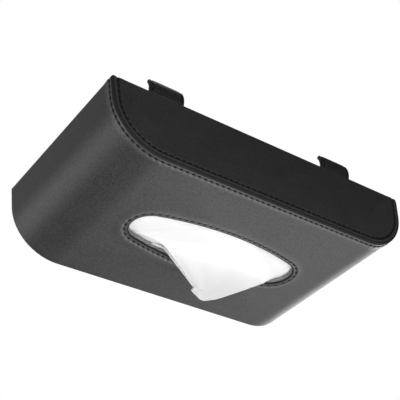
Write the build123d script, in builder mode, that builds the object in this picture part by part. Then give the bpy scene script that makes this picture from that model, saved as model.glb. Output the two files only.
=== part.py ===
from build123d import *
from math import asin, atan, cos, degrees, pi, radians, sin, tan
import os

# A tissue holder that hangs under a car's sun visor. A shallow case of coated leather over
# stiff board opens at its front, which looks down in the car, for the tissues. Its back is a
# panel that stays on the visor by two sprung clips, and the case swings down from it on a
# leather hinge, so that a new stack of tissues can be laid in.
# Origin: centre of the back panel's outer face. +Z points out of the back, towards the visor,
# +X runs along the case and -Y is the side where the visor's edge goes into the clips.

# Case
case_length = 235.0  # over the back, where the ends stand widest apart
case_width = 130.0
case_depth = 48.0
end_lean = 4.0  # each end leans in by this much over the depth
corner_radius = 36.0  # outside, between an end and the front
leather = 1.2  # coated leather on its thin foam
board = 2.0  # stiffener under the leather
lining = 0.6
side_recess = 0.3  # the side panels sit this far inside the cover's edge
cover_edge_bevel = 0.5
wall = leather + board + lining
overrun = 5.0  # cuts run past the faces that they cut by this much

# Tissue slot in the front
slot_margin = 16.9  # flat front past each end of the slot
slot_width = 41.0
slot_end_radius = 14.0
slot_shift = -0.8  # along the width
slot_roll = 0.8  # the leather rolls over the slot's edge
facing_flange = 9.0  # how far the slot's facing reaches back over the board

# Back panel and its leather hinge
panel_clearance = 1.0  # all round, inside the case's rim
panel_corner = 3.0
fold_setback = 0.4  # from the far lining to the hinge's fold
fold_gap = 0.3  # on each side of the fold
board_setback = 1.2  # the panel's board stops short of the fold
seat_gap = 0.3  # between the shut panel and the seat frame

# Seat frame, the angled rim inside the case that the shut panel rests on
seat_width = 15.0  # along the near side
seat_end_width = 11.0  # along the ends
seat_plate = 2.0
seat_leg = 8.0
seat_leg_thickness = 1.6

# Magnets in the panel and the steel keepers under them
magnet_radius = 6.0
magnet_height = 1.6
keeper_height = 1.0
magnet_spacing = 72.0
pocket_clearance = 0.1

# Clips: a spring strip in a leather sleeve. The visor's edge goes in under the lip on the near
# side, as far as the bend.
clip_inset = 46.5  # from the case's end to the clip's middle
clip_width = 26.0
clip_thickness = 3.2  # strip and sleeve together
clip_bend = 10.0  # outside radius
clip_reach = 9.4  # from the case's near side to the outside of the lip
spring_width = 20.0
spring_thickness = 1.0
foot_length = 46.0
arm_length = 62.4
arm_slope = 12.0  # degrees, towards the panel
lip_radius = 13.0  # outside radius
lip_angle = 37.5  # degrees, rolled back past the line where the lip is furthest out
sleeve_hem = 3.0  # sewn shut past each end of the strip
sleeve_tip_round = 2.5
flex_gap = 0.25  # on each side of the line where the clip flexes

# Rivets that hold the clips' feet to the panel's board
rivet_radius = 1.5
rivet_head_radius = 2.8
rivet_head = 0.8
rivet_cap_radius = 3.6
rivet_cap = 1.0
rivet_pitch = 18.0
rivet_inset = 8.0  # from the strip's end to the first rivet
rivet_clearance = 0.1

# Tissues
stack_round = 9.0  # along the width, where the ends round into the front
stack_end_gap = 0.4  # from the end of the flat front to where the stack begins to round
stack_side_gap = 7.9  # to the linings of the long sides
stack_room = 6.1  # over the stack, up to the seat frame
stack_edge = 2.5
tissue_left_gap = 21.5  # from the slot's left end to the drawn tissue
tissue_right_gap = 6.5
tissue_y = 8.0
tissue_tip_y = 6.5
tissue_drop = 35.8  # from the front down to the tip
tissue_fold = 3.0  # how far the folds swing where the tissue leaves the stack
tissue_thickness = 1.6  # several layers together
# Fold lines: how far across the width each one lies, and how far it swings
tissue_fold_shares = (
    (0.0, 0.0),
    (0.1, 1.0),
    (0.24, -0.6),
    (0.38, 0.8),
    (0.55, -1.0),
    (0.72, 0.7),
    (0.88, -0.8),
    (1.0, 0.2),
)
# Outline seen square on: how far down from the stack to the tip, and the left and right edges
# there. The left edge is straight but for a small step near its end, and the lower edge slants.
tissue_outline_shares = (
    (0.0, 0.0, 1.0),
    (0.08, 0.03, 1.0),
    (0.2, 0.075, 0.947),
    (0.57, 0.21, 0.7),
    (0.79, 0.29, 0.55),
    (0.85, 0.265, 0.51),
    (0.89, 0.29, 0.48),
    (1.0, 0.35, 0.37),
)

half_length = case_length / 2
half_width = case_width / 2
half_front = half_length - end_lean  # where the end would meet the front without its rounding
end_slope = atan(end_lean / case_depth)
half_flat = half_front - corner_radius * tan((pi / 2 - end_slope) / 2)
slot_length = 2 * (half_flat - slot_margin)
panel_face_y = half_width - side_recess  # outer face of a side panel
board_face_y = panel_face_y - leather
lining_face_y = board_face_y - board
inside_y = lining_face_y - lining
inside_depth = case_depth - wall
fold_y = inside_y - fold_setback
panel_thickness = wall
seat_top = panel_thickness + seat_gap
stack_length = 2 * (half_flat + stack_round - stack_end_gap)
stack_width = 2 * (inside_y - stack_side_gap)
stack_height = inside_depth - seat_top - seat_plate - stack_room
tissue_left = tissue_left_gap - slot_length / 2
tissue_right = slot_length / 2 - tissue_right_gap
tissue_spread = tissue_right - tissue_left
clip_spacing = case_length - 2 * clip_inset
clip_middle = clip_thickness / 2
bend_middle = clip_bend - clip_middle
lip_middle = lip_radius - clip_middle
lip_y = clip_reach + lip_radius - half_width
arm_way = radians(arm_slope)
bend_y = lip_y + arm_length * cos(arm_way) + (bend_middle + lip_middle) * sin(arm_way)
flex_angle = degrees(flex_gap / bend_middle)
rivet_head_angle = 2 * degrees(atan((rivet_head_radius - rivet_radius) / rivet_head))

os.makedirs("parts", exist_ok=True)


def case_section(inset, y=0.0):
    """Section along the case's length, drawn in from the outside and open above the back."""
    rise = corner_radius
    top = half_length + end_lean * rise / case_depth
    low = -case_depth
    with BuildSketch(Plane.XZ.offset(-y)) as section:
        with BuildLine():
            Polyline((-top, rise), (-half_front, low), (half_front, low), (top, rise), close=True)
        make_face()
        fillet(section.vertices().group_by(Axis.Y)[0], corner_radius)
        if inset > 0:
            offset(amount=-inset)
    return section.sketch


def case_block(inset, y_low, y_high, z_low, z_high):
    """Solid of the case's section between two widths, cut level at two heights."""
    with BuildPart() as block:
        extrude(to_extrude=case_section(inset, y_high), amount=y_high - y_low)
        split(bisect_by=Plane.XY.offset(z_high), keep=Keep.BOTTOM)
        split(bisect_by=Plane.XY.offset(z_low), keep=Keep.TOP)
    return block.part


def slot_outline(grow, z):
    """Long oval of two end arcs and two flatter side arcs, all tangent."""
    end_centre = slot_length / 2 - slot_end_radius
    half = slot_width / 2
    side_radius = (end_centre**2 + half**2 - slot_end_radius**2) / (2 * (half - slot_end_radius))
    sweep_half = degrees(asin(end_centre / (side_radius - slot_end_radius)))
    with BuildSketch(Plane((0, slot_shift, z))) as outline:
        with BuildLine():
            for turn in (0, 180):
                side = 1 if turn == 0 else -1
                side_centre = (0, side * (half - side_radius))
                CenterArc(side_centre, side_radius + grow, turn + 90 - sweep_half, 2 * sweep_half)
                end_start = turn + sweep_half - 90
                CenterArc((side * end_centre, 0), slot_end_radius + grow, end_start, 180 - 2 * sweep_half)
        make_face()
    return outline.sketch


# Case: the leather outside

# One strip of leather runs down the left end, over the front and up the right end.
with BuildPart() as outer_cover:
    add(case_block(0, -half_width, half_width, -case_depth - overrun, 0))
    rims = outer_cover.faces().filter_by(Axis.Y).edges()
    chamfer(rims.filter_by(lambda edge: edge.center().Z < -leather), cover_edge_bevel)
    add(case_block(leather, -case_width, case_width, -case_depth, overrun), mode=Mode.SUBTRACT)
    extrude(to_extrude=slot_outline(0, -case_depth - overrun), amount=2 * overrun, mode=Mode.SUBTRACT)
    slot_rim = outer_cover.faces().sort_by(Axis.Z)[0].inner_wires()[0]
    fillet(slot_rim.edges(), slot_roll)
outer_cover.part.label = "outer_cover"
export_step(outer_cover.part, "parts/outer_cover.step")

# A flat D-shaped panel closes each long side, sewn in along the strip's edge.
with BuildPart() as near_side_panel:
    add(case_block(leather, -panel_face_y, -board_face_y, -case_depth, 0))
near_side_panel.part.label = "near_side_panel"
export_step(near_side_panel.part, "parts/near_side_panel.step")

with BuildPart() as far_side_panel:
    add(mirror(near_side_panel.part, about=Plane.XZ, mode=Mode.PRIVATE))
far_side_panel.part.label = "far_side_panel"
export_step(far_side_panel.part, "parts/far_side_panel.step")

# Case: the boards that keep it stiff
with BuildPart() as front_board:
    add(case_block(leather, -lining_face_y, lining_face_y, -case_depth, -leather))
    add(case_block(leather + board, -case_width, case_width, -case_depth, 0), mode=Mode.SUBTRACT)
    extrude(to_extrude=slot_outline(leather, -case_depth), amount=case_depth, mode=Mode.SUBTRACT)
front_board.part.label = "front_board"
export_step(front_board.part, "parts/front_board.step")

with BuildPart() as near_side_board:
    add(case_block(leather, -board_face_y, -lining_face_y, -case_depth, -leather))
near_side_board.part.label = "near_side_board"
export_step(near_side_board.part, "parts/near_side_board.step")

with BuildPart() as far_side_board:
    add(mirror(near_side_board.part, about=Plane.XZ, mode=Mode.PRIVATE))
far_side_board.part.label = "far_side_board"
export_step(far_side_board.part, "parts/far_side_board.step")

# Case: the lining, and the leather facing turned through the slot
with BuildPart() as front_lining:
    add(case_block(leather + board, -inside_y, inside_y, -case_depth, -leather))
    add(case_block(wall, -case_width, case_width, -case_depth, 0), mode=Mode.SUBTRACT)
    extrude(to_extrude=slot_outline(facing_flange, -case_depth), amount=case_depth, mode=Mode.SUBTRACT)
front_lining.part.label = "front_lining"
export_step(front_lining.part, "parts/front_lining.step")

with BuildPart() as near_side_lining:
    add(case_block(leather + board, -lining_face_y, -inside_y, -case_depth, -leather))
near_side_lining.part.label = "near_side_lining"
export_step(near_side_lining.part, "parts/near_side_lining.step")

with BuildPart() as far_side_lining:
    add(mirror(near_side_lining.part, about=Plane.XZ, mode=Mode.PRIVATE))
far_side_lining.part.label = "far_side_lining"
export_step(far_side_lining.part, "parts/far_side_lining.step")

with BuildPart() as slot_facing:
    extrude(to_extrude=slot_outline(leather, -case_depth + leather), amount=board + lining)
    extrude(to_extrude=slot_outline(facing_flange, -inside_depth), amount=-lining)
    extrude(to_extrude=slot_outline(0, -case_depth), amount=case_depth, mode=Mode.SUBTRACT)
slot_facing.part.label = "slot_facing"
export_step(slot_facing.part, "parts/slot_facing.step")

# Case: the rim at the back

# A binding folds over the boards' edges on the near side and the two ends.
with BuildPart() as rim_binding:
    add(case_block(leather, -board_face_y, board_face_y, -leather, 0))
    add(case_block(wall, -inside_y, case_width, -case_depth, overrun), mode=Mode.SUBTRACT)
rim_binding.part.label = "rim_binding"
export_step(rim_binding.part, "parts/rim_binding.step")

# The hinge's leather covers the far board's edge and carries on into the panel's cover.
with BuildPart() as hinge_strip:
    add(case_block(wall, fold_y + fold_gap, board_face_y, -leather, 0))
hinge_strip.part.label = "hinge_strip"
export_step(hinge_strip.part, "parts/hinge_strip.step")

magnet_y = seat_width / 2 - inside_y
magnet_places = [(-magnet_spacing / 2, magnet_y), (magnet_spacing / 2, magnet_y)]

with BuildPart() as seat_frame:
    plate_bottom = -seat_top - seat_plate
    leg_bottom = -seat_top - seat_leg
    add(case_block(wall, -inside_y, inside_y, leg_bottom, -seat_top))
    leg_inset = wall + seat_leg_thickness
    leg_y = inside_y - seat_leg_thickness
    add(case_block(leg_inset, -leg_y, case_width, -case_depth, plate_bottom), mode=Mode.SUBTRACT)
    mouth_inset = wall + seat_end_width
    mouth_y = inside_y - seat_width
    add(case_block(mouth_inset, -mouth_y, case_width, -case_depth, 0), mode=Mode.SUBTRACT)
    with Locations(Plane.XY.offset(-seat_top)):
        with Locations(*magnet_places):
            Hole(magnet_radius + pocket_clearance, keeper_height)
seat_frame.part.label = "seat_frame"
export_step(seat_frame.part, "parts/seat_frame.step")

with BuildPart() as keeper_plates:
    with BuildSketch(Plane.XY.offset(-seat_top)):
        with Locations(*magnet_places):
            Circle(magnet_radius)
    extrude(amount=-keeper_height)
keeper_plates.part.label = "keeper_plates"
export_step(keeper_plates.part, "parts/keeper_plates.step")

# Tissues

# The stack lies on the front, because the holder hangs with its front down.
with BuildPart() as tissue_stack:
    with BuildSketch(Plane.XY.offset(-inside_depth)):
        Rectangle(stack_length, stack_width)
    extrude(amount=stack_height)
    ends = tissue_stack.edges().filter_by(Axis.Y)
    fillet(ends.group_by(Axis.Z)[0], stack_round)
    fillet(ends.group_by(Axis.Z)[-1], stack_edge)
tissue_stack.part.label = "tissue_stack"
export_step(tissue_stack.part, "parts/tissue_stack.step")


def fold_band(left, right, y, z):
    """Outline of the tissue at one height, folded to and fro between its left and right edges."""
    drawn_in = (right - left) / tissue_spread
    half = tissue_thickness / 2
    front, back = [], []
    for across, swing in tissue_fold_shares:
        x = left + across * (right - left)
        middle = y + drawn_in * swing * tissue_fold
        front.append((x, middle - half, z))
        back.append((x, middle + half, z))
    return front + back[::-1]


# The drawn tissue hangs out of the slot as a folded point. All its bands are folded alike, so
# each stretch between two fold lines is flat.
with BuildPart() as drawn_tissue:
    bands = []
    for down, left_share, right_share in tissue_outline_shares:
        left = tissue_left + left_share * tissue_spread
        right = tissue_left + right_share * tissue_spread
        y = tissue_y + down * (tissue_tip_y - tissue_y)
        bands.append(fold_band(left, right, y, -inside_depth - down * (wall + tissue_drop)))
    outlines = [bands[0], bands[-1]]
    for upper, lower in zip(bands, bands[1:]):
        for corner in range(len(upper)):
            last = corner - 1
            outlines.append((upper[last], upper[corner], lower[corner], lower[last]))
    add(Solid(Shell([Face(Wire.make_polygon(outline)) for outline in outlines])))
drawn_tissue.part.label = "drawn_tissue"
export_step(drawn_tissue.part, "parts/drawn_tissue.step")

# Back panel: leather, board and lining in one flat piece, with rounded near corners
panel_inset = wall + panel_clearance
panel_near_y = inside_y - panel_clearance
panel_far_y = fold_y - fold_gap
board_bottom = -leather - board


def panel_layer(far_y, z_low, z_high):
    """One layer of the back panel, from its near edge to far_y."""
    with BuildPart() as layer:
        add(case_block(panel_inset, -panel_near_y, far_y, z_low, z_high))
        near_edges = layer.faces().sort_by(Axis.Y)[0].edges()
        fillet(near_edges.filter_by(Axis.X, reverse=True), panel_corner)
    return layer.part


foot_end_y = bend_y - foot_length
spring_bottom = (clip_thickness - spring_thickness) / 2
spring_top = spring_bottom + spring_thickness
first_rivet_y = foot_end_y + sleeve_hem + rivet_inset


def rivet_points(z):
    """The four rivets' places at one height, two through each clip's foot."""
    return [
        (side * clip_spacing / 2, first_rivet_y + step * rivet_pitch, z)
        for side in (-1, 1)
        for step in (0, 1)
    ]


with BuildPart() as back_panel_cover:
    add(panel_layer(panel_far_y, -leather, 0))
    with Locations(*rivet_points(0)):
        Hole(rivet_radius + rivet_clearance)
back_panel_cover.part.label = "back_panel_cover"
export_step(back_panel_cover.part, "parts/back_panel_cover.step")

with BuildPart() as back_panel_board:
    add(panel_layer(fold_y - board_setback, board_bottom, -leather))
    with Locations(*rivet_points(board_bottom)):
        Hole(rivet_radius + rivet_clearance)
        Cylinder(
            rivet_cap_radius + rivet_clearance,
            rivet_cap,
            align=(Align.CENTER, Align.CENTER, Align.MIN),
            mode=Mode.SUBTRACT,
        )
    with Locations(*[(x, y, board_bottom) for x, y in magnet_places]):
        Cylinder(
            magnet_radius + pocket_clearance,
            magnet_height,
            align=(Align.CENTER, Align.CENTER, Align.MIN),
            mode=Mode.SUBTRACT,
        )
back_panel_board.part.label = "back_panel_board"
export_step(back_panel_board.part, "parts/back_panel_board.step")

with BuildPart() as back_panel_lining:
    add(panel_layer(fold_y - board_setback, -panel_thickness, board_bottom))
back_panel_lining.part.label = "back_panel_lining"
export_step(back_panel_lining.part, "parts/back_panel_lining.step")

with BuildPart() as panel_magnets:
    with BuildSketch(Plane.XY.offset(board_bottom)):
        with Locations(*magnet_places):
            Circle(magnet_radius)
    extrude(amount=magnet_height)
panel_magnets.part.label = "panel_magnets"
export_step(panel_magnets.part, "parts/panel_magnets.step")


# Clips: each one is a U of spring strip in a leather sleeve, with its mouth on the near side. It
# flexes at the far line of its bend, so it is cut there into a foot, fixed to the panel, and an
# arm, which slopes down to the mouth and ends in a lip rolled up and back.
def foot_path(x, hem):
    """Middle line of the foot and the lower half of the bend, from the foot's free end."""
    with BuildLine(Plane.YZ.offset(x)) as path:
        Line((foot_end_y + hem, clip_middle), (bend_y, clip_middle))
        CenterArc((bend_y, clip_bend), bend_middle, -90, 90 - flex_angle)
    return path.wire()


def arm_path(x, hem):
    """Middle line of the upper half of the bend, the arm and its lip."""
    with BuildLine(Plane.YZ.offset(x)) as path:
        bend = CenterArc((bend_y, clip_bend), bend_middle, flex_angle, 90 + arm_slope - flex_angle)
        arm = PolarLine(bend @ 1, arm_length, 180 + arm_slope)
        roll_angle = 90 + arm_slope + lip_angle - degrees(hem / lip_middle)
        JernArc(arm @ 1, arm % 1, lip_middle, -roll_angle)
    return path.wire()


def strip_along(path, width, thickness):
    """Flat strip that follows a path lying square to the case's length."""
    with BuildPart() as strip:
        with BuildSketch(Plane(path @ 0, x_dir=(1, 0, 0), z_dir=path % 0)):
            Rectangle(width, thickness)
        sweep(path=path)
    return strip.part


def sleeve_along(path, spring, tip):
    """Leather sleeve round a spring strip, with the corners rounded at its free end, the tip."""
    with BuildPart() as sleeve:
        add(strip_along(path, clip_width, clip_thickness))
        free_end = sleeve.faces().sort_by_distance(tip)[0].edges()
        fillet(free_end.filter_by(Axis.X, reverse=True), sleeve_tip_round)
        add(spring, mode=Mode.SUBTRACT)
    return sleeve.part


for side_name, clip_x in (("left", -clip_spacing / 2), ("right", clip_spacing / 2)):
    foot_strip = strip_along(foot_path(clip_x, sleeve_hem), spring_width, spring_thickness)
    arm_strip = strip_along(arm_path(clip_x, sleeve_hem), spring_width, spring_thickness)

    with BuildPart() as clip_foot_spring:
        add(foot_strip)
        with Locations(*rivet_points(spring_top)):
            CounterSinkHole(
                rivet_radius + rivet_clearance,
                rivet_head_radius + rivet_clearance,
                counter_sink_angle=rivet_head_angle,
            )
    clip_foot_spring.part.label = f"{side_name}_clip_foot_spring"
    export_step(clip_foot_spring.part, f"parts/{side_name}_clip_foot_spring.step")

    foot_sleeve_path = foot_path(clip_x, 0)
    with BuildPart() as clip_foot_sleeve:
        add(sleeve_along(foot_sleeve_path, foot_strip, foot_sleeve_path @ 0))
        with Locations(*rivet_points(0)):
            Hole(rivet_radius + rivet_clearance, spring_bottom)
    clip_foot_sleeve.part.label = f"{side_name}_clip_foot_sleeve"
    export_step(clip_foot_sleeve.part, f"parts/{side_name}_clip_foot_sleeve.step")

    with BuildPart() as clip_arm_spring:
        add(arm_strip)
    clip_arm_spring.part.label = f"{side_name}_clip_arm_spring"
    export_step(clip_arm_spring.part, f"parts/{side_name}_clip_arm_spring.step")

    arm_sleeve_path = arm_path(clip_x, 0)
    with BuildPart() as clip_arm_sleeve:
        add(sleeve_along(arm_sleeve_path, arm_strip, arm_sleeve_path @ 1))
    clip_arm_sleeve.part.label = f"{side_name}_clip_arm_sleeve"
    export_step(clip_arm_sleeve.part, f"parts/{side_name}_clip_arm_sleeve.step")

# Rivets: heads sunk in the spring strips, caps set flush in the panel's board
with BuildPart() as clip_rivets:
    with Locations(*rivet_points(spring_top)):
        Cone(
            rivet_radius,
            rivet_head_radius,
            rivet_head,
            align=(Align.CENTER, Align.CENTER, Align.MAX),
        )
    with Locations(*rivet_points(board_bottom)):
        shank_height = spring_top - board_bottom - rivet_head
        Cylinder(rivet_radius, shank_height, align=(Align.CENTER, Align.CENTER, Align.MIN))
        Cylinder(rivet_cap_radius, rivet_cap, align=(Align.CENTER, Align.CENTER, Align.MIN))
clip_rivets.part.label = "clip_rivets"
export_step(clip_rivets.part, "parts/clip_rivets.step")
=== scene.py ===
from math import asin, atan, cos, exp, hypot, pi, radians, sin, tan

import bmesh
import bpy
from mathutils import Matrix, Vector


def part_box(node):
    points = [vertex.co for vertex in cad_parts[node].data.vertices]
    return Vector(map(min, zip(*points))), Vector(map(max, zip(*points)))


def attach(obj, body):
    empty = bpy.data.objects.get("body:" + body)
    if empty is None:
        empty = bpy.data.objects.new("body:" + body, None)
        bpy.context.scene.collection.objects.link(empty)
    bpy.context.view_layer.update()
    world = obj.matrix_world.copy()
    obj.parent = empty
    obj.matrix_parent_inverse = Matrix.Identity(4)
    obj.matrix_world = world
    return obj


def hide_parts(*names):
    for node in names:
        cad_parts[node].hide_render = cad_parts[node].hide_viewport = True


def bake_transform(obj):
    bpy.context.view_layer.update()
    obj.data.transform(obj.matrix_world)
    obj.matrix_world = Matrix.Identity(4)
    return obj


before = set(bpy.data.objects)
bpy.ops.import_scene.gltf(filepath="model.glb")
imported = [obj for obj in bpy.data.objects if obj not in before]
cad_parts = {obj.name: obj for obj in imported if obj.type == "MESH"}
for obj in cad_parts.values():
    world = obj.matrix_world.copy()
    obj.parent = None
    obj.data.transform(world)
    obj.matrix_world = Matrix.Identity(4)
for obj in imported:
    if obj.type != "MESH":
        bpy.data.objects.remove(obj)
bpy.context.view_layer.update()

scene = bpy.context.scene


# Studio. The holder is seen as it hangs, from below, in front and to the left, against white.
# Two large soft boxes stand on the camera's side. Weaker ones behind the holder give its coated
# leather a sheen on the front and along the roundings, and one above lights its back. The pale
# floor lies well below, and looks evenly pale to the camera.
camera = bpy.data.objects.new("camera", bpy.data.cameras.new("camera"))
scene.collection.objects.link(camera)
scene.camera = camera
camera.data.sensor_width = 36.0
camera.data.lens = 85.2
sight = Vector((0.49301, 0.63372, 0.59611))
picture_up = Vector((-0.31405, -0.50934, 0.80121))
turned = Matrix((sight.cross(picture_up), picture_up, -sight)).transposed().to_4x4()
camera.matrix_world = Matrix.Translation((-0.32607, -0.40889, -0.39240)) @ turned
scene.view_settings.view_transform = "Standard"


class Shade:
    """One socket of a node tree. Arithmetic with it adds Math nodes, so a finish reads as a sum."""

    def __init__(self, tree, socket=None):
        self.tree, self.socket = tree, socket

    def node(self, kind, settings=None, sockets=None, output=0):
        """Adds a node: first its settings or its ramp's stops, then its sockets."""
        made = self.tree.nodes.new(kind)
        for name, value in (settings or {}).items():
            if name == "stops":
                ramp = made.color_ramp.elements
                while len(ramp) < len(value):
                    ramp.new(1.0)
                for stop, (place, colour) in zip(ramp, value):
                    stop.position, stop.color = place, (*colour, 1.0)
            else:
                setattr(made, name, value)
        for name, value in (sockets or {}).items():
            if isinstance(value, Shade):
                self.tree.links.new(value.socket, made.inputs[name])
            else:
                made.inputs[name].default_value = value
        return Shade(self.tree, made.outputs[output])

    def maths(self, operation, *values):
        return self.node("ShaderNodeMath", {"operation": operation}, dict(enumerate(values)))

    def __add__(self, other):
        return self.maths("ADD", self, other)

    def __sub__(self, other):
        return self.maths("SUBTRACT", self, other)

    def __rsub__(self, other):
        return self.maths("SUBTRACT", other, self)

    def __mul__(self, other):
        return self.maths("MULTIPLY", self, other)

    def __truediv__(self, other):
        return self.maths("DIVIDE", self, other)

    def __pow__(self, other):
        return self.maths("POWER", self, other)

    __radd__ = __add__
    __rmul__ = __mul__

    def bell(self, middle, spread):
        """1 where this value is at the middle, falling away smoothly over the spread."""
        return self.maths("POWER", exp(1), -1 * ((self - middle) / spread) ** 2)

    def blend(self, colour_a, colour_b):
        """A colour between two others, by this share."""
        ends = {"Factor": self, "A": colour_a, "B": colour_b}
        sockets = {{"Factor": 0, "A": 6, "B": 7}[name]: value for name, value in ends.items()}
        return self.node("ShaderNodeMix", {"data_type": "RGBA"}, sockets, output=2)

    def place(self):
        """The point that is shaded, in its piece's own frame."""
        return self.node("ShaderNodeTexCoord", output=3)

    def noise(self, place, scale, detail=2.0):
        """Soft noise about 0.5; the scale is in changes per metre."""
        return self.node("ShaderNodeTexNoise", None, {"Vector": place, "Scale": scale, "Detail": detail})


def grey(value, warmth=0.0):
    """A near-neutral colour for a socket."""
    return (value * (1 + warmth), value, value * (1 - warmth), 1.0)


def new_finish(name):
    """An empty material, its tree and its surface shader."""
    material = bpy.data.materials.new(name)
    material.use_nodes = True
    tree = material.node_tree
    return material, Shade(tree), tree.nodes["Principled BSDF"]


def lay_on(material, base, colour=None, roughness=None, height=None, **fixed):
    """Feeds a finish's colour, roughness and relief, in metres, to its surface shader."""
    tree = material.node_tree
    shade = Shade(tree)
    for name, value in fixed.items():
        base.inputs[name.replace("_", " ")].default_value = value
    for name, value in (("Base Color", colour), ("Roughness", roughness)):
        if isinstance(value, Shade):
            tree.links.new(value.socket, base.inputs[name])
        elif value is not None:
            base.inputs[name].default_value = value
    if height is not None:
        relief = shade.node("ShaderNodeBump", None, {"Strength": 1.0, "Distance": 1.0, "Height": height})
        tree.links.new(relief.socket, base.inputs["Normal"])
    return material


world = bpy.data.worlds.new("studio")
scene.world = world
world.use_nodes = True
sky = Shade(world.node_tree)
way = sky.node("ShaderNodeTexCoord", output=0)
across = sky.node("ShaderNodeSeparateXYZ", None, {0: way}, output=1)
room_stops = {"stops": [(0.0, (0.0, 0.0, 0.0)), (0.5, (0.0, 0.0, 0.0)), (1.0, (0.54, 0.54, 0.54))]}
room = sky.node("ShaderNodeValToRGB", room_stops, {0: across * 0.5 + 0.5})
dim = sky.node("ShaderNodeBackground", None, {"Color": room})
white = sky.node("ShaderNodeBackground", None, {"Color": grey(1.0)})
seen = sky.node("ShaderNodeLightPath")
both = sky.node("ShaderNodeMixShader", None, {0: seen, 1: dim, 2: white})
world.node_tree.links.new(both.socket, world.node_tree.nodes["World Output"].inputs["Surface"])


def soft_box(name, place, size, power):
    """A square of soft light, aimed at the holder."""
    lamp = bpy.data.objects.new(name, bpy.data.lights.new(name, "AREA"))
    scene.collection.objects.link(lamp)
    lamp.data.shape = "SQUARE"
    lamp.data.size = size
    lamp.data.energy = power
    lamp.location = place
    lamp.rotation_euler = (-Vector(place)).to_track_quat("-Z", "Y").to_euler()
    lamp.visible_camera = False


soft_box("camera_side_light", (-0.47, -0.52, -0.85), 0.7, 6.4)
soft_box("near_side_light", (-0.15, -0.95, -0.60), 0.7, 6.1)
soft_box("low_light_behind", (0.55, 0.36, -0.80), 0.8, 2.8)
soft_box("low_right_light", (0.85, 0.55, -0.62), 0.6, 0.7)
soft_box("left_light", (-1.0, 0.80, -0.22), 0.75, 2.8)
soft_box("right_light", (1.0, 0.80, 0.20), 0.6, 3.2)
soft_box("top_light", (0.1, 0.3, 1.3), 1.0, 6.5)

floor_reach, floor_depth = 4.0, 1.4
bm = bmesh.new()
floor_lie = Matrix.Translation((0, 0, -floor_depth))
bmesh.ops.create_grid(bm, x_segments=1, y_segments=1, size=floor_reach, matrix=floor_lie)
floor = bpy.data.objects.new("floor", bpy.data.meshes.new("floor"))
bm.to_mesh(floor.data)
bm.free()
scene.collection.objects.link(floor)
pale, shade, base = new_finish("pale_floor")
lay_on(pale, base, colour=grey(0.8), roughness=0.7)
glow = shade.node("ShaderNodeEmission", None, {"Color": grey(0.82)})
seen = shade.node("ShaderNodeLightPath")
lit = Shade(pale.node_tree, base.outputs[0])
even = shade.node("ShaderNodeMixShader", None, {0: seen, 1: lit, 2: glow})
pale.node_tree.links.new(even.socket, pale.node_tree.nodes["Material Output"].inputs["Surface"])
floor.data.materials.append(pale)


# Outer cover: one strip of coated leather that runs down the left end, over the front and up
# the right end. Its near edge is turned under and sewn through 3.6 mm in. The stitches draw the
# leather down into a groove, and beside it the leather stands up in a soft, puckered roll. The
# far edge goes over plainly, as the photograph shows, to the seam in the far side.
low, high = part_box("outer_cover")
half_length, half_width, depth = high.x, high.y, -low.z
end_lean = 0.004
corner_radius = 0.036
lean = atan(end_lean / depth)
turn = pi / 2 - lean
half_flat = half_length - end_lean - corner_radius * tan(turn / 2)
arc_run = corner_radius * turn
end_run = (depth - corner_radius * (1 - sin(lean))) / cos(lean)
half_run = half_flat + arc_run + end_run
stitch_pitch = half_run / round(half_run / 0.00435)
stitch_inset = 0.0036
left_round, right_round = 0.0008, 0.003
rim_steps, arc_steps = 5, 40
flat_margin = 0.002
mm = 0.001
close = 1e-6


def on_case(run, inset=0.0):
    """Place on the case's outline a length from the front's middle, the way along and the way out."""
    side = 1 if run > 0 else -1
    over = max(abs(run) - half_flat, 0)
    angle = min(over / corner_radius, turn)
    rest = max(over - arc_run, 0)
    x = min(abs(run), half_flat) + corner_radius * sin(angle) + rest * sin(lean)
    z = corner_radius * (1 - cos(angle)) + rest * cos(lean) - depth
    out = Vector((side * sin(angle), 0, -cos(angle)))
    return Vector((side * x, 0, z)) - out * inset, Vector((cos(angle), 0, side * sin(angle))), out


def run_of(x, z):
    """How far along the case's outline a point on or near it is, from the front's middle."""
    beyond = abs(x) - half_flat
    if beyond <= 0:
        return x
    rise = z + depth - corner_radius
    rest = max(beyond * sin(lean) + rise * cos(lean), 0)
    angle = turn if rest > 0 else pi / 2 + atan(rise / beyond)
    return (half_flat + corner_radius * angle + rest) * (1 if x > 0 else -1)


def is_edge_between(element, points):
    """Whether an element of a mesh is an edge that joins two of these points."""
    return isinstance(element, bmesh.types.BMEdge) and all(v in points for v in element.verts)


def carry(bm, chain, step):
    """Extrudes a chain of edges by a step, and gives the new chain."""
    grown = bmesh.ops.extrude_edge_only(bm, edges=chain)["geom"]
    points = {g for g in grown if isinstance(g, bmesh.types.BMVert)}
    bmesh.ops.translate(bm, verts=list(points), vec=step)
    return [g for g in grown if is_edge_between(g, points)]


def swing(bm, chain, centre, axis, angle, steps):
    """Spins a chain of edges about a centre, and gives the last chain."""
    turned = bmesh.ops.spin(bm, geom=chain, cent=centre, axis=axis, angle=angle, steps=steps)
    points = {g for g in turned["geom_last"] if isinstance(g, bmesh.types.BMVert)}
    return [g for g in turned["geom_last"] if is_edge_between(g, points)]


def chain_of(bm, places):
    """Joins places in a row into a chain of edges."""
    points = [bm.verts.new(place) for place in places]
    return [bm.edges.new(pair) for pair in zip(points, points[1:])]


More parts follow.
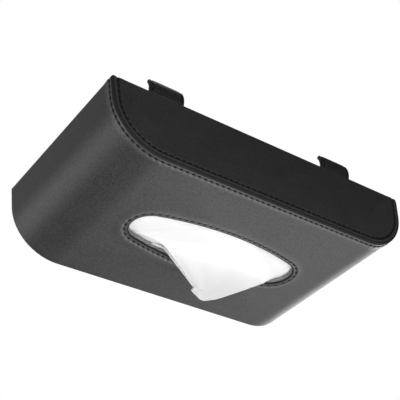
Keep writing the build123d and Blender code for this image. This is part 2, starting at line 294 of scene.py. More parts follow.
def sweep_round_case(bm, section):
    """Carries a section, as (y, inset) pairs, down the left end, along the front and up the right."""
    rim, along, out = on_case(-half_run)
    chain = chain_of(bm, [rim - out * inset + Vector((0, y, 0)) for y, inset in section])
    for step in [left_round / rim_steps] * rim_steps + [end_run - left_round]:
        chain = carry(bm, chain, along * step)
    arc_height = corner_radius - depth
    chain = swing(bm, chain, (-half_flat, 0, arc_height), (0, -1, 0), turn, arc_steps)
    for step in (flat_margin, 2 * (half_flat - flat_margin), flat_margin):
        chain = carry(bm, chain, (step, 0, 0))
    chain = swing(bm, chain, (half_flat, 0, arc_height), (0, -1, 0), turn, arc_steps)
    along = on_case(half_run)[1]
    for step in [end_run - right_round] + [right_round / rim_steps] * rim_steps:
        chain = carry(bm, chain, along * step)


def ease_corners(bm):
    """Rounds the case's corners between its ends and its back, more at the right, as they are seen."""
    for point in bm.verts:
        rim_round = right_round if point.co.x > 0 else left_round
        out = abs(point.co.x) - half_length + rim_round
        up = point.co.z + rim_round
        if out > 0 and up > 0:
            share = max(out, up) / hypot(out, up)
            side = 1 if point.co.x > 0 else -1
            point.co.x = side * (half_length - rim_round + out * share)
            point.co.z = up * share - rim_round


def finish_piece(bm, name, material, body, replaced=()):
    """Makes a piece of the mesh, gives it its finish, and sets it on its body."""
    mesh = bpy.data.meshes.new(name)
    for face in bm.faces:
        face.smooth = True
    bm.to_mesh(mesh)
    bm.free()
    piece = bpy.data.objects.new(name, mesh)
    scene.collection.objects.link(piece)
    mesh.materials.append(material)
    if body:
        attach(piece, body)
    if replaced:
        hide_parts(*replaced)
    return piece


def leather(name, tone, roughness, grain=0.0008, relief=0.00004, seam=None):
    """Coated leather: pebbled grain and slow changes of tone. Along a sewn seam the rolls are glossier, with
    a painted highlight, and painted shade darkens the gaps and the groove under each stitch; places and
    spreads are in millimetres."""
    material, shade, base = new_finish(name)
    place = shade.place()
    cells = {"Vector": place, "Scale": 1 / grain, "Smoothness": 0.6, "Randomness": 0.9}
    pebbles = shade.node("ShaderNodeTexVoronoi", {"feature": "SMOOTH_F1"}, cells)
    cloudy = shade.noise(place, 60.0, 3.0)
    fine = shade.noise(place, 1300.0)
    height = relief * (0.6 * cloudy - pebbles + 0.4 * fine)
    worn = 0.5 + 0.5 * (cloudy - 0.5) + 4.2 * (fine - 0.5) + 0.4 * (pebbles - 0.4)
    colour = worn.blend(grey(tone * 0.5), grey(tone * 1.5))
    gloss = roughness + 0.12 * (cloudy - 0.5) + 0.1 * (pebbles - 0.4)
    if seam:
        lie = shade.node("ShaderNodeUVMap", {"uv_map": "seam"})
        stitches = shade.node("ShaderNodeSeparateXYZ", None, {0: lie})
        away = shade.node("ShaderNodeSeparateXYZ", None, {0: lie}, output=1)
        wave = shade.maths("COSINE", stitches * (2 * pi))
        # Painted shade: the groove along the stitches is coloured darker, most at each stitch.
        stitch_groove_shade = (0.55 - 0.45 * wave) * away.bell(0.15, 0.75)
        rolls = sum(share * away.bell(middle, spread) for middle, spread, share in seam["rolls"])
        gap_shade = sum(share * away.bell(middle, spread) for middle, spread, share in seam["gap_shade"])
        height = height + seam["pucker"] * wave * away.bell(1.2, 1.2)
        # Painted highlight: the rolls are coloured several times lighter, where their sheen would catch the
        # light.
        colour = rolls.blend(colour, grey(tone * seam["painted_highlight"]))
        # Painted shade: the gaps beside the rolls and the stitch groove are coloured nearly black.
        colour = (stitch_groove_shade + gap_shade).blend(colour, grey(tone * 0.2))
        gloss = gloss - 0.15 * rolls + seam["dull"] * gap_shade
    return lay_on(material, base, colour=colour, roughness=gloss, height=height)


def mottled(name, scale, detail, dark, light, roughness, relief, **fixed):
    """A plain finish: one fine noise in its colour and in its relief."""
    material, shade, base = new_finish(name)
    fibres = shade.noise(shade.place(), scale, detail)
    colour = fibres.blend(dark, light)
    return lay_on(material, base, colour=colour, roughness=roughness, height=relief * fibres, **fixed)


def mapped(bm, lie_of):
    """Writes the seam map: how many stitches along and how many millimetres away each point is."""
    layer = bm.loops.layers.uv.new("seam")
    for face in bm.faces:
        middle = face.calc_center_median()
        for loop in face.loops:
            loop[layer].uv = lie_of(loop.vert.co, middle)


# Stations from the cover's near and far edges inwards, and how deep each one lies, in millimetres.
cover_edge = (
    (1.0, 1.8), (0.4, 1.5), (0.1, 1.1), (0.12, 0.7), (0.4, 0.34), (0.9, 0.08), (1.5, -0.06),
    (2.1, -0.12), (2.6, -0.12), (3.0, -0.06), (3.3, 0.03), (3.6, 0.08), (3.9, 0.02), (4.3, -0.14),
    (4.8, -0.27), (5.5, -0.34), (6.4, -0.28), (7.4, -0.15), (8.6, -0.04), (10.5, 0.0), (12.0, 0.0),
)
far_edge = (
    (1.0, 1.8), (0.35, 1.4), (0.03, 0.95), (0.0, 0.6), (0.15, 0.25), (0.45, 0.06), (0.9, 0.0),
    (2.0, 0.0), (5.0, 0.0), (12.0, 0.0),
)
edge_band = 0.013

# The slot is a long oval of two end arcs and two flatter side arcs. The leather rolls over its
# edge to meet the facing that lines it, and a row of stitches runs round it 2.9 mm out. Its
# stations go from the edge outwards, with how deep each one lies, in millimetres.
slot_half_length = half_flat - 0.0169
slot_half_width = 0.0205
slot_end_radius = 0.014
slot_middle = -0.0008
slot_stitch = 0.0029
far_swell = 0.0005
slot_end = slot_half_length - slot_end_radius
slot_side_radius = (slot_end**2 + slot_half_width**2 - slot_end_radius**2) / (
    2 * (slot_half_width - slot_end_radius)
)
slot_side = slot_side_radius - slot_half_width
slot_sweep = asin(slot_end / (slot_side_radius - slot_end_radius))
slot_end_turn = pi - 2 * slot_sweep
slot_end_run = slot_end_turn * slot_end_radius
slot_side_run = 2 * slot_sweep * slot_side_radius
slot_run = 2 * (slot_end_run + slot_side_run)
slot_stitches = round(slot_run / stitch_pitch)
slot_edge = (
    (1.0, 1.3), (0.45, 1.15), (0.25, 0.8), (0.3, 0.4), (0.6, 0.1), (1.1, -0.08), (1.7, -0.1),
    (2.2, -0.02), (2.6, 0.1), (2.9, 0.16), (3.2, 0.1), (3.6, -0.1), (4.1, -0.28), (4.9, -0.36),
    (6.0, -0.28), (7.6, -0.12), (10.0, -0.02), (12.0, 0.0), (13.5, 0.0),
)


def sweep_round_slot(bm, section):
    """Carries a section, as (way out, inset) pairs, once round the slot."""
    start = slot_sweep - pi / 2
    heading = Vector((cos(start), sin(start), 0))
    centre = Vector((slot_end, slot_middle, -depth))
    places = [centre + heading * (slot_end_radius + out) + Vector((0, 0, inset)) for out, inset in section]
    chain = chain_of(bm, places)
    for x, y, angle in (
        (slot_end, 0, slot_end_turn),
        (0, -slot_side, 2 * slot_sweep),
        (-slot_end, 0, slot_end_turn),
        (0, slot_side, 2 * slot_sweep),
    ):
        chain = swing(bm, chain, (x, slot_middle + y, 0), (0, 0, 1), angle, arc_steps)
    bmesh.ops.remove_doubles(bm, verts=bm.verts, dist=10 * close)


def round_slot(x, y):
    """Length along the slot's edge and distance out from it, for a point on the front."""
    y = y - slot_middle
    far = 1 if y > 0 else -1
    lean_to_side = atan(x / (y * far + slot_side))
    if abs(lean_to_side) < slot_sweep:
        out = hypot(x, y * far + slot_side) - slot_side_radius
        if far > 0:
            return slot_end_run + (slot_sweep - lean_to_side) * slot_side_radius, out
        return slot_run - (slot_sweep - lean_to_side) * slot_side_radius, out
    if x > 0:
        angle = atan(y / max(x - slot_end, 1e-9)) + pi / 2 - slot_sweep
        return angle * slot_end_radius, hypot(x - slot_end, y) - slot_end_radius
    angle = pi / 2 - slot_sweep - atan(y / max(-x - slot_end, 1e-9))
    run = slot_end_run + slot_side_run + angle * slot_end_radius
    return run, hypot(x + slot_end, y) - slot_end_radius


def cover_lie(point, middle):
    """The seam map of the cover: round the slot from the slot's edge, elsewhere from the near edge."""
    if abs(middle.x) < half_flat - mm and abs(middle.y) < half_width - edge_band:
        run, out = round_slot(point.x, point.y)
        face_run = round_slot(middle.x, middle.y)[0]
        if run - face_run > slot_run / 2:
            run -= slot_run
        elif face_run - run > slot_run / 2:
            run += slot_run
        return run / slot_run * slot_stitches, (out - slot_stitch) / mm
    away = half_width + point.y - stitch_inset
    return run_of(point.x, point.z) / stitch_pitch, away / mm


bm = bmesh.new()
near_half = [(edge * mm - half_width, inset * mm) for edge, inset in cover_edge]
far_half = [(half_width - edge * mm, inset * mm) for edge, inset in reversed(far_edge)]
sweep_round_case(bm, near_half + far_half)

# The broad face of the front gives way to the slot's rings and a fill between them and the rest.
broad_area, outer_band, front_level = 0.01, 0.01, mm - depth
broad = [f for f in bm.faces if f.calc_area() > broad_area]
bmesh.ops.delete(bm, geom=broad, context="FACES_ONLY")
hole = [e for e in bm.edges if e.is_boundary and abs(e.verts[0].co.y) < half_width - outer_band]
hole = [e for e in hole if all(abs(v.co.x) < half_flat and v.co.z < front_level for v in e.verts)]
before = set(bm.edges)
sweep_round_slot(bm, [(out * mm, inset * mm) for out, inset in slot_edge])
brim = [e for e in bm.edges if e not in before and e.is_boundary and e.verts[0].co.z < front_level]
bmesh.ops.triangle_fill(bm, use_beauty=True, edges=hole + brim, normal=(0, 0, -1))

# Beyond the slot the leather swells a little.
slot_border = slot_edge[-1][0] * mm
for point in bm.verts:
    share = (point.co.y - slot_half_width) / slot_border
    if abs(point.co.x) < slot_half_length and 0 < share < 1:
        point.co.z -= far_swell * sin(pi * share) ** 2 * cos(pi / 2 * point.co.x / slot_half_length)
ease_corners(bm)
bmesh.ops.recalc_face_normals(bm, faces=bm.faces)
mapped(bm, cover_lie)
# Seam tables: rolls get a painted highlight and gaps painted shade; each entry is a middle and a spread, in
# millimetres from the stitches, and a share. One value sets how many times lighter the painted highlight is.
cover_seam = {
    "rolls": ((-0.95, 0.45, 1.2), (1.5, 0.9, 0.7), (2.8, 1.8, 0.25)),
    "gap_shade": ((-2.7, 1.15, 1.0), (-3.9, 0.7, 0.5)),
    "dull": 0.5,
    "pucker": 0.00014,
    "painted_highlight": 2.6,
}
cover_leather = leather("cover_leather", 0.035, 0.42, seam=cover_seam)
finish_piece(bm, "front_and_ends_leather", cover_leather, "case", ["outer_cover"])


# Thread: black nylon, one short bar for each stitch, laid in the groove that it pulls.
thread = mottled("black_thread", 3000.0, 2.0, grey(0.003), grey(0.012), 0.8, 0.00003, Specular_IOR_Level=0.15)
thread_inset = stitch_inset + 0.0003
stitch_length, stitch_width, stitch_height = 0.0027, 0.0015, 0.0005
edge_sink, slot_sink, panel_sink = 0.00002, 0.00005, 0.0001


def sew(name, places, body):
    """A row of stitches, each at a place with the way along it and the way out."""
    bm = bmesh.new()
    for place, along, out in places:
        axes = (along * stitch_length / 2, along.cross(out) * stitch_width / 2, out * stitch_height / 2)
        lie = Matrix.Translation(place) @ Matrix(axes).transposed().to_4x4()
        bmesh.ops.create_uvsphere(bm, u_segments=6, v_segments=5, radius=1.0, matrix=lie)
    bmesh.ops.recalc_face_normals(bm, faces=bm.faces)
    return finish_piece(bm, name, thread, body)


def stitches_round_case(y, inset, to_side):
    """Stitches along the case's outline at a width; they lie on the side panel if to_side is set."""
    count = round(2 * half_run / stitch_pitch)
    for index in range(count):
        place, along, out = on_case((index + 0.5) * 2 * half_run / count - half_run, inset)
        yield place + Vector((0, y, 0)), along, Vector((0, to_side, 0)) if to_side else out


def stitches_round_slot():
    """Stitches round the slot; the second half of the round is the first one, turned about."""
    half_round = slot_run / 2
    for index in range(slot_stitches):
        run = (index + 0.5) * slot_run / slot_stitches
        side = 1 if run < half_round else -1
        past = run % half_round
        if past < slot_end_run:
            angle = slot_sweep - pi / 2 + past / slot_end_radius
            centre, radius = Vector((slot_end, 0, 0)), slot_end_radius
        else:
            angle = pi / 2 - slot_sweep + (past - slot_end_run) / slot_side_radius
            centre, radius = Vector((0, -slot_side, 0)), slot_side_radius
        spoke = Vector((cos(angle), sin(angle), 0))
        place = (centre + spoke * (radius + slot_stitch)) * side
        place += Vector((0, slot_middle, slot_sink - depth))
        yield place, Vector((-spoke.y, spoke.x, 0)) * side, Vector((0, 0, -1))


sew("cover_edge_stitches", stitches_round_case(thread_inset - half_width, edge_sink, 0), "case")
sew("slot_stitches", stitches_round_slot(), "case")


# Side panels: a D of the same leather in each long side, given a darker tone and a rougher finish than the
# cover. Its edge is turned and set inside the cover's edge, and a stitched groove follows it 4 mm in.
side_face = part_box("near_side_panel")[0].y
side_stitch = 0.004
side_edge = (
    (0.9, -1.1), (1.05, -0.6), (1.35, -0.2), (1.8, 0.03), (2.3, 0.1), (2.8, 0.05), (3.3, -0.14),
    (3.7, -0.38), (4.0, -0.47), (4.3, -0.36), (4.7, -0.08), (5.4, 0.1), (6.6, 0.12), (8.2, 0.05),
    (10.5, 0.0), (12.0, 0.0),
)
# Painted highlight on its rolls, painted shade in its gaps.
side_seam = {
    "rolls": ((-1.7, 0.7, 0.9),),
    "gap_shade": ((-3.0, 0.6, 0.9), (0.0, 0.8, 0.8)),
    "dull": 0.0,
    "pucker": 0.00003,
    "painted_highlight": 1.9,
}
side_leather = leather("side_leather", 0.027, 0.62, grain=0.0007, relief=0.00003, seam=side_seam)


def side_lie(point, middle):
    """The seam map of a side panel: along the case's outline, and inwards from the stitches."""
    run = run_of(point.x, point.z)
    place, _, out = on_case(run)
    return run / stitch_pitch, ((place - point).dot(out) - side_stitch) / mm


def is_innermost(point):
    """Whether a point lies on the last of the side panel's stations, within a hundredth of a mm."""
    return side_lie(point, point)[1] > side_edge[-1][0] - side_stitch / mm - 0.01


# At the back, the panel's edge turns in over the rim by these steps inwards and up.
rim_turn_in = ((0.1, 0.25), (0.5, 0.1), (0.9, 0.0))
for name, face, node in (("near", side_face, "near_side_panel"), ("far", -side_face, "far_side_panel")):
    facing = 1 if face > 0 else -1
    bm = bmesh.new()
    sweep_round_case(bm, [(face + facing * rise * mm, inset * mm) for inset, rise in side_edge])
    inner = [e for e in bm.edges if e.is_boundary and all(is_innermost(v.co) for v in e.verts)]
    points = [v for e in inner for v in e.verts]
    tops = min(points, key=lambda v: v.co.x), max(points, key=lambda v: v.co.x)
    inner.append(bm.edges.new(tops))
    bmesh.ops.triangle_fill(bm, use_beauty=True, edges=inner, normal=(0, facing, 0))
    everything = [*bm.verts, *bm.edges, *bm.faces]
    bmesh.ops.bisect_plane(bm, geom=everything, plane_co=(0, 0, 0), plane_no=(0, 0, 1), clear_outer=True)
    rim = [e for e in bm.edges if e.is_boundary and all(v.co.z > -close for v in e.verts)]
    for inward, rise in rim_turn_in:
        rim = carry(bm, rim, (0, -facing * inward * mm, rise * mm))
    ease_corners(bm)
    bmesh.ops.recalc_face_normals(bm, faces=bm.faces)
    mapped(bm, side_lie)
    finish_piece(bm, name + "_side_leather", side_leather, "case", [node])
    rows = stitches_round_case(face - facing * panel_sink, side_stitch, facing)
    sew(name + "_side_stitches", rows, "case")


# Back panel and hinge: one piece of leather covers the panel's board, is creased along the far
# side, and goes on over the edge of the far side, to which it is sewn. The crease is the hinge
# on which the case swings down. Its other edges are turned under and sewn 2.1 mm in. Each step
# past the crease goes outwards and up by these millimetres.
panel_low, panel_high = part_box("back_panel_cover")
panel_corner, corner_steps = 0.003, 4
panel_far = 0.059
panel_stitch = 0.0021
panel_edge = (
    (1.3, 1.2), (0.3, 1.1), (0.0, 0.75), (0.1, 0.3), (0.5, 0.05), (1.1, -0.04), (1.7, 0.0),
    (1.9, 0.2), (2.1, 0.3), (2.3, 0.2), (2.55, 0.0), (2.9, -0.02),
)
hinge_steps = (
    (0.8, -0.02), (0.4, -0.12), (0.3, -0.3), (0.3, 0.3), (0.4, 0.12), (0.8, 0.02), (1.0, 0.0),
    (0.6, -0.12), (0.25, -0.3), (0.0, -0.6),
)


def panel_lie(point, middle):
    """The seam map of the back panel: along its near edge or its ends, and inwards from the stitches."""
    near = point.y - panel_low.y
    side = panel_high.x - abs(point.x)
    if near < side:
        return point.x / stitch_pitch, (near - panel_stitch) / mm
    return point.y / stitch_pitch, (side - panel_stitch) / mm


bm = bmesh.new()
places = [(panel_high.x - inset * mm, panel_far, -drop * mm) for inset, drop in panel_edge]
chain = chain_of(bm, places)
corner = Vector((panel_high.x - panel_corner, panel_low.y + panel_corner, 0))
chain = carry(bm, chain, (0, corner.y - panel_far, 0))
chain = swing(bm, chain, corner, (0, 0, -1), pi / 2, corner_steps)
chain = carry(bm, chain, (-2 * corner.x, 0, 0))
chain = swing(bm, chain, (-corner.x, corner.y, 0), (0, 0, -1), pi / 2, corner_steps)
carry(bm, chain, (0, panel_far - corner.y, 0))

# The panel's plain middle fills what its sewn edge leaves open.
deepest = panel_high.x - panel_edge[-1][0] * mm
tops = [v for v in bm.verts if v.co.y > panel_far - close and abs(abs(v.co.x) - deepest) < close]
bm.edges.new(tops)
inner_low = panel_low.y + panel_edge[-1][0] * mm
raised = [v for v in bm.verts if v.co.z > 0]
inner_points = {v for v in raised if abs(v.co.x) < deepest + close and v.co.y > inner_low - close}
inner = [e for e in bm.edges if e.is_boundary or e.is_wire]
inner = [e for e in inner if all(v in inner_points for v in e.verts)]
bmesh.ops.triangle_fill(bm, use_beauty=True, edges=inner, normal=(0, 0, 1))

# Cuts keep the seam's map apart from the middle's.
plain_from = 0.006
cuts = [((0, inner_low + plain_from, 0), (0, 1, 0))]
cuts += [((side * (deepest - plain_from), 0, 0), (side, 0, 0)) for side in (-1, 1)]
for place, facing in cuts:
    everything = [*bm.verts, *bm.edges, *bm.faces]
    bmesh.ops.bisect_plane(bm, geom=everything, plane_co=place, plane_no=facing)

# The hinge goes on from the far edge.
chain = [e for e in bm.edges if e.is_boundary and all(v.co.y > panel_far - close for v in e.verts)]
for out, rise in hinge_steps:
    chain = carry(bm, chain, (0, out * mm, rise * mm))
bmesh.ops.recalc_face_normals(bm, faces=bm.faces)
mapped(bm, panel_lie)
# Painted highlight on its rolls, painted shade in its gaps.
panel_seam = {
    "rolls": ((1.2, 0.9, 0.5),),
    "gap_shade": ((-2.2, 0.5, 0.8),),
    "dull": 0.0,
    "pucker": 0.00004,
    "painted_highlight": 2.0,
}
panel_leather = leather("back_leather", 0.03, 0.5, seam=panel_seam)
panel_nodes = ["back_panel_cover", "hinge_strip"]
panel = finish_piece(bm, "back_panel_and_hinge_leather", panel_leather, None, panel_nodes)
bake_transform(panel)


def straight_row(start, end, out):
    """Stitches evenly along a straight line."""
    start, end = Vector(start), Vector(end)
    count = round((end - start).length / stitch_pitch)
    along = (end - start).normalized()
    return [(start.lerp(end, (index + 0.5) / count), along, Vector(out)) for index in range(count)]


row_x, row_y, row_z, up = panel_high.x - panel_stitch, panel_low.y + panel_stitch, -panel_sink, (0, 0, 1)
row_gap, hinge_row_gap, hinge_row_z = 0.002, 0.003, 0.00005
before_hinge, past_hinge = 0.0572, 0.0628
panel_rows = straight_row((-row_x + row_gap, row_y, row_z), (row_x - row_gap, row_y, row_z), up)
for x in (-row_x, row_x):
    panel_rows += straight_row((x, row_y + row_gap, row_z), (x, panel_far - row_gap, row_z), up)
start, end = ((side * (row_x - hinge_row_gap), before_hinge, hinge_row_z) for side in (-1, 1))
panel_rows += straight_row(start, end, up)
sew("back_panel_stitches", panel_rows, "back_panel")
sew("hinge_stitches", straight_row((-row_x, past_hinge, row_z), (row_x, past_hinge, row_z), up), "case")


# Clips: a flat spring strip in a leather sleeve, which is sewn shut 2 mm in from its edges. The
# foot is riveted to the panel. The arm comes back over the visor and rolls up at its end into a
# lip. Each sleeve is one piece over the fixed foot and the sprung arm, and bends where they do.
# Its section, from an edge to the middle, and its first and last steps are in millimetres.
clip_half_width = 0.013
clip_x = {"left": -0.071, "right": 0.071}
bend_centre = Vector((0, 0.022553, 0.010))
bend_radius, lip_radius = 0.0084, 0.0114
foot_length, arm_length = 0.046, 0.0624
arm_slope, lip_turn = radians(12), radians(139.5)
tip_round, tip_thins, tip_thickness = 0.001, 0.0015, 0.35
clip_stitch, clip_thread_rise, unsewn = 0.002, 0.00125, 0.003
clip_section = (
    (13.0, 0.2), (12.9, 0.9), (12.5, 1.35), (11.9, 1.5), (11.35, 1.35), (11.0, 1.2), (10.65, 1.35),
    (10.0, 1.55), (8.0, 1.6), (4.0, 1.62), (0.0, 1.62),
)
tip_steps = (0.0, 0.1, 0.3, 0.6, 1.0, 1.6)
foot_steps = (14.0, 30.0)
bend_steps, arm_steps, lip_steps = 28, 5, 24
bend_run = bend_radius * (pi + arm_slope)
bend_end = foot_length + bend_run
lip_start = bend_end + arm_length
clip_run = lip_start + lip_radius * lip_turn


def on_clip(run, lift=0.0):
    """Place, way along and way out on a clip's middle line, a length from its foot's end."""
    turned = min(max((run - foot_length) / bend_radius, 0), pi + arm_slope)
    spoke = Vector((0, sin(turned), -cos(turned)))
    along = Vector((0, cos(turned), sin(turned)))
    place = bend_centre + spoke * (bend_radius + lift) + along * min(run - foot_length, 0)
    place += along * min(max(run - bend_end, 0), arm_length)
    curl = max(run - lip_start, 0) / lip_radius
    place += (along * sin(curl) + spoke * (1 - cos(curl))) * (lip_radius - lift)
    return place, along * cos(curl) + spoke * sin(curl), spoke * cos(curl) - along * sin(curl)


def clip_stations():
    """Lengths along a clip at which its sleeve has a ring, closer where it bends or ends."""
    yield from (step * mm for step in tip_steps + foot_steps)
    yield foot_length
    yield from (foot_length + bend_run * index / bend_steps for index in range(1, bend_steps + 1))
    yield from (bend_end + arm_length * index / arm_steps for index in range(1, arm_steps + 1))
    lip_run = clip_run - tip_steps[-1] * mm - lip_start
    yield from (lip_start + lip_run * index / lip_steps for index in range(1, lip_steps))
    yield from (clip_run - step * mm for step in reversed(tip_steps))


def tip_shape(run):
    """The sleeve's share of its width and thickness near its rounded ends."""
    near = max(min(run, clip_run - run), 0.0)
    if near >= tip_round:
        return 1.0, 1.0
    half = clip_half_width - tip_round + (tip_round**2 - (tip_round - near) ** 2) ** 0.5
    swell = min(1.0, near / tip_thins) ** 0.5
    return half / clip_half_width, tip_thickness + (1 - tip_thickness) * swell


def clip_lie(point, middle):
    """The seam map of a sleeve that is still straight: along it, and inwards from the stitches."""
    return point.y / stitch_pitch, (clip_half_width - abs(point.x) - clip_stitch) / mm


def stitches_on_clip(x):
    """Stitches along both edges of a sleeve, on its two faces."""
    sewn = clip_run - 2 * unsewn
    count = round(sewn / stitch_pitch)
    for index in range(count):
        run = unsewn + (index + 0.5) * sewn / count
        for edge in (-1, 1):
            for face in (-1, 1):
                place, along, out = on_clip(run, face * clip_thread_rise)
                from_middle = edge * (clip_half_width - clip_stitch) * tip_shape(run)[0]
                yield place + Vector((x + from_middle, 0, 0)), along, out * face


# Painted highlight on its rolls, painted shade in its gaps.
clip_seam = {
    "rolls": ((1.0, 0.8, 0.3),),
    "gap_shade": ((-2.1, 0.4, 0.8),),
    "dull": 0.0,
    "pucker": 0.00002,
    "painted_highlight": 1.6,
}
quarter = [(px * mm, pz * mm) for px, pz in clip_section]
half_ring = quarter + [(-px, pz) for px, pz in reversed(quarter[:-1])]
ring = half_ring + [(-px, -pz) for px, pz in half_ring]
clip_leather = leather("clip_leather", 0.024, 0.5, grain=0.0006, relief=0.00002, seam=clip_seam)
for side, x in clip_x.items():
    bm = bmesh.new()
    chain = chain_of(bm, [(px, 0, pz) for px, pz in ring])
    ends = [e.verts[index] for e, index in ((chain[-1], 1), (chain[0], 0))]
    chain.append(bm.edges.new(ends))
    bmesh.ops.contextual_create(bm, geom=chain)
    runs = [*clip_stations()]
    for start, stop in zip(runs, runs[1:]):
        chain = carry(bm, chain, (0, stop - start, 0))
    bmesh.ops.contextual_create(bm, geom=chain)
    mapped(bm, clip_lie)
    for point in bm.verts:
        wide, thick = tip_shape(point.co.y)
        place = on_clip(point.co.y, point.co.z * thick)[0]
        point.co = place + Vector((x + point.co.x * wide, 0, 0))
    bmesh.ops.recalc_face_normals(bm, faces=bm.faces)
    nodes = [f"{side}_clip_foot_sleeve", f"{side}_clip_arm_sleeve"]
    sleeve = finish_piece(bm, side + "_clip_leather", clip_leather, None, nodes)
    threads = sew(side + "_clip_stitches", stitches_on_clip(x), None)
    for piece in (sleeve, threads):
        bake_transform(piece)


# Stack of tissues: folded sheets laid on each other, each a little out of line with the next.
# The lowest one bulges out into the slot.
paper, shade, base = new_finish("tissue_paper")
place = shade.place()
fibres, crepe = shade.noise(place, 900.0), shade.noise(place, 120.0)
white_paper = fibres.blend(grey(0.90), grey(0.95))
lay_on(paper, base, colour=white_paper, roughness=0.9, height=0.00002 * fibres + 0.0001 * crepe)
stack_low, stack_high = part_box("tissue_stack")
drift_room, drift_x, drift_y = 0.0005, 0.0003, 0.0004
stack_edge = stack_high - Vector((drift_room, drift_room, 0))
sheets, stack_lift, stack_round = 20, 0.001, 0.009
sheet_share, bevel_share = 0.98, 0.38
sheet_height = (stack_high.z - stack_low.z - stack_lift) / sheets
lowest_sheet, lowest_span = stack_low.z + 0.0007, (0.158, 0.1)
bulge, bulge_rise, ripple_height = 0.0033, 0.003, 0.0003


def drift(seed):
    """A fixed number from -1 to 1 for each seed, so that every run is the same."""
    return sin(seed * 12.9898) * cos(seed * 4.1414 + 1.7)


def stack_bottom(x, y):
    """Height of the lowest sheet, which bulges out where the slot leaves it free."""
    inside = -round_slot(x, y)[1]
    share = 1 - exp(-inside / bulge_rise) if inside > 0 else 0.0
    ripple = ripple_height * sin(x * 160 + 3 * sin(y * 90))
    return lowest_sheet - share * (bulge + ripple)


bm = bmesh.new()
for index in range(sheets):
    bottom = stack_low.z + stack_lift + index * sheet_height
    below_round = 1 - min((bottom - stack_low.z) / stack_round, 1)
    inset = stack_round * (1 - (1 - below_round**2) ** 0.5)
    size = (2 * (stack_edge.x - inset), 2 * stack_edge.y, sheet_height * sheet_share)
    shift = Vector((drift(index) * drift_x, drift(index + 40) * drift_y, bottom + sheet_height / 2))
    slab = Matrix.Translation(shift) @ Matrix.Diagonal((*size, 1))
    made = bmesh.ops.create_cube(bm, size=1.0, matrix=slab)["verts"]
    edges = {e for v in made for e in v.link_edges}
    bevel = {"affect": "EDGES", "segments": 2, "profile": 0.5, "material": -1}
    bmesh.ops.bevel(bm, geom=[*edges], offset=sheet_height * bevel_share, **bevel)
made = bmesh.ops.create_grid(bm, x_segments=90, y_segments=50, size=0.5)["verts"]
for point in made:
    x, y = point.co.x * lowest_span[0], point.co.y * lowest_span[1]
    point.co = Vector((x, y, stack_bottom(x, y)))
bmesh.ops.recalc_face_normals(bm, faces=bm.faces)
finish_piece(bm, "stack_of_tissues", paper, "case", ["tissue_stack"])


# Drawn tissue: two thin plies pulled out of the slot together. The near one fans out over the
# stack as far as the slot's near edge. Both gather into soft folds that run down to a blunt point.
# The outline has shares: the way down, and how far across the left and right edges are there.
tissue_outline = (
    (0, 0, 1), (0.08, 0.03, 1), (0.2, 0.075, 0.947), (0.57, 0.21, 0.7), (0.79, 0.29, 0.55),
    (0.86, 0.265, 0.50), (0.9, 0.285, 0.47), (1, 0.34, 0.37),
)
tissue_drop = 0.0385
tissue_left, tissue_right = -0.039, 0.0535
tissue_root = -0.0444
tissue_y, tissue_slope = 0.0065, 0.0015
broad_fold, fine_fold = 0.0009, 0.0005
fan_drop, fan_right, fan_left, fan_back, fan_forward = 0.055, 0.006, 0.018, 0.004, 0.028
far_lean, ply_spread, ply_gap = 0.008, 0.0035, 0.0002
paper_thickness, over_stack, stack_ease = 0.00015, 0.00022, 0.0008


def outline_at(down):
    """The tissue's left and right edges, a share of the way down to its tip."""
    for (top, *upper), (bottom, *lower) in zip(tissue_outline, tissue_outline[1:]):
        if down <= bottom + 1e-9:
            share = (down - top) / (bottom - top)
            left, right = (a + share * (b - a) for a, b in zip(upper, lower))
            return [tissue_left + edge * (tissue_right - tissue_left) for edge in (left, right)]


def hang(across, down, ply):
    """A point of one ply: the folds are widest at the slot and close up towards the tip. At its
    root the near ply fans out sideways and forwards, and comes to lie just under the stack."""
    left, right = outline_at(down)
    x = left + across * (right - left)
    closing = 1 - down
    folds = broad_fold * sin(across * 9.0 + 0.6 + ply) + fine_fold * sin(across * 21.0 + 2.0 * ply)
    spread = ply_spread * closing * sin(pi * across) + ply_gap
    y = tissue_y + tissue_slope * closing + folds * (0.15 + 0.85 * closing) + ply * spread
    z = tissue_root - down * tissue_drop
    fan = exp(-down / fan_drop)
    if ply > 0:
        return Vector((x, y + far_lean * fan, z))
    x += fan * (fan_right * across - fan_left * (1 - across))
    y += fan * (fan_back * (1 - across) - fan_forward * sin(pi * across) ** 0.8)
    on_stack = stack_bottom(x, y) - over_stack
    return Vector((x, y, (z + on_stack - hypot(z - on_stack, stack_ease)) / 2))


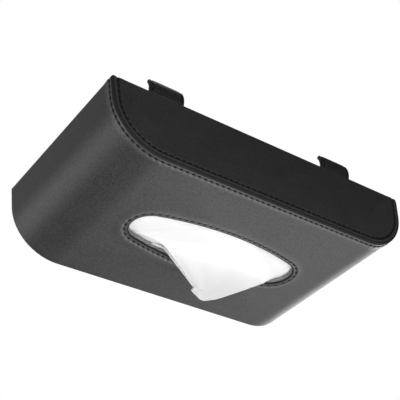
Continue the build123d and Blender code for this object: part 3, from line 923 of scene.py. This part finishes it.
plies = (
    (-1, "drawn_tissue_near_ply", (0.117, 0.06), 0.00365),
    (1, "drawn_tissue_far_ply", (0.1, 0.045), 0.0025),
)
for ply, name, flat, area in plies:
    bm = bmesh.new()
    made = bmesh.ops.create_grid(bm, x_segments=60, y_segments=90, size=0.5)["verts"]
    for point in made:
        point.co = hang(point.co.x + 0.5, (0.5 - point.co.y) ** 1.5, ply)
    bmesh.ops.solidify(bm, geom=bm.faces, thickness=paper_thickness)
    bmesh.ops.recalc_face_normals(bm, faces=bm.faces)
    sheet = finish_piece(bm, name, paper, "case", ["drawn_tissue"])


# The parts that keep their shape from the source get their finishes here: board, felt lining,
# facing and rim leather, spring steel, magnets, their keepers, and rivets.
def metal(name, light, roughness, brushed):
    """Plain steel: fine lines or specks in its roughness."""
    material, shade, base = new_finish(name)
    lines = shade.node("ShaderNodeMapping", None, {"Vector": shade.place(), "Scale": brushed})
    specks = shade.noise(lines, 400.0)
    tone = specks.blend(grey(light * 0.85), grey(light * 1.1))
    return lay_on(material, base, colour=tone, roughness=roughness + 0.2 * (specks - 0.5), Metallic=1.0)


board_finish = mottled("grey_board", 700.0, 3.0, grey(0.10, 0.04), grey(0.18, 0.04), 0.85, 0.00004)
felt = mottled("black_felt", 1500.0, 4.0, grey(0.006), grey(0.03), 0.95, 0.00012)
# Painted light: the slot's facing is coloured far lighter than the other leather, standing in for the lit
# inner wall of the slot.
facing_leather_painted_bright = leather("facing_leather_painted_bright", 0.2, 0.5, grain=0.0006, relief=0.00002)
rim_leather = leather("rim_leather", 0.03, 0.5)
spring_steel = metal("spring_steel", 0.45, 0.3, (1, 20, 1))
keeper_steel = metal("zinc_plated_steel", 0.6, 0.35, (1, 1, 1))
magnet_nickel = metal("nickel_plate", 0.62, 0.2, (1, 1, 1))
rivet_steel = metal("rivet_steel", 0.5, 0.3, (1, 1, 1))
finishes = {
    board_finish: ["front_board", "near_side_board", "far_side_board", "back_panel_board"],
    felt: ["front_lining", "near_side_lining", "far_side_lining", "back_panel_lining"],
    facing_leather_painted_bright: ["slot_facing"],
    rim_leather: ["rim_binding", "seat_frame"],
    spring_steel: [f"{side}_clip_{part}_spring" for side in clip_x for part in ("foot", "arm")],
    keeper_steel: ["keeper_plates"],
    magnet_nickel: ["panel_magnets"],
    rivet_steel: ["clip_rivets"],
}
for finish, nodes in finishes.items():
    for node in nodes:
        for material_slot in bpy.data.objects[node].material_slots:
            material_slot.material = finish
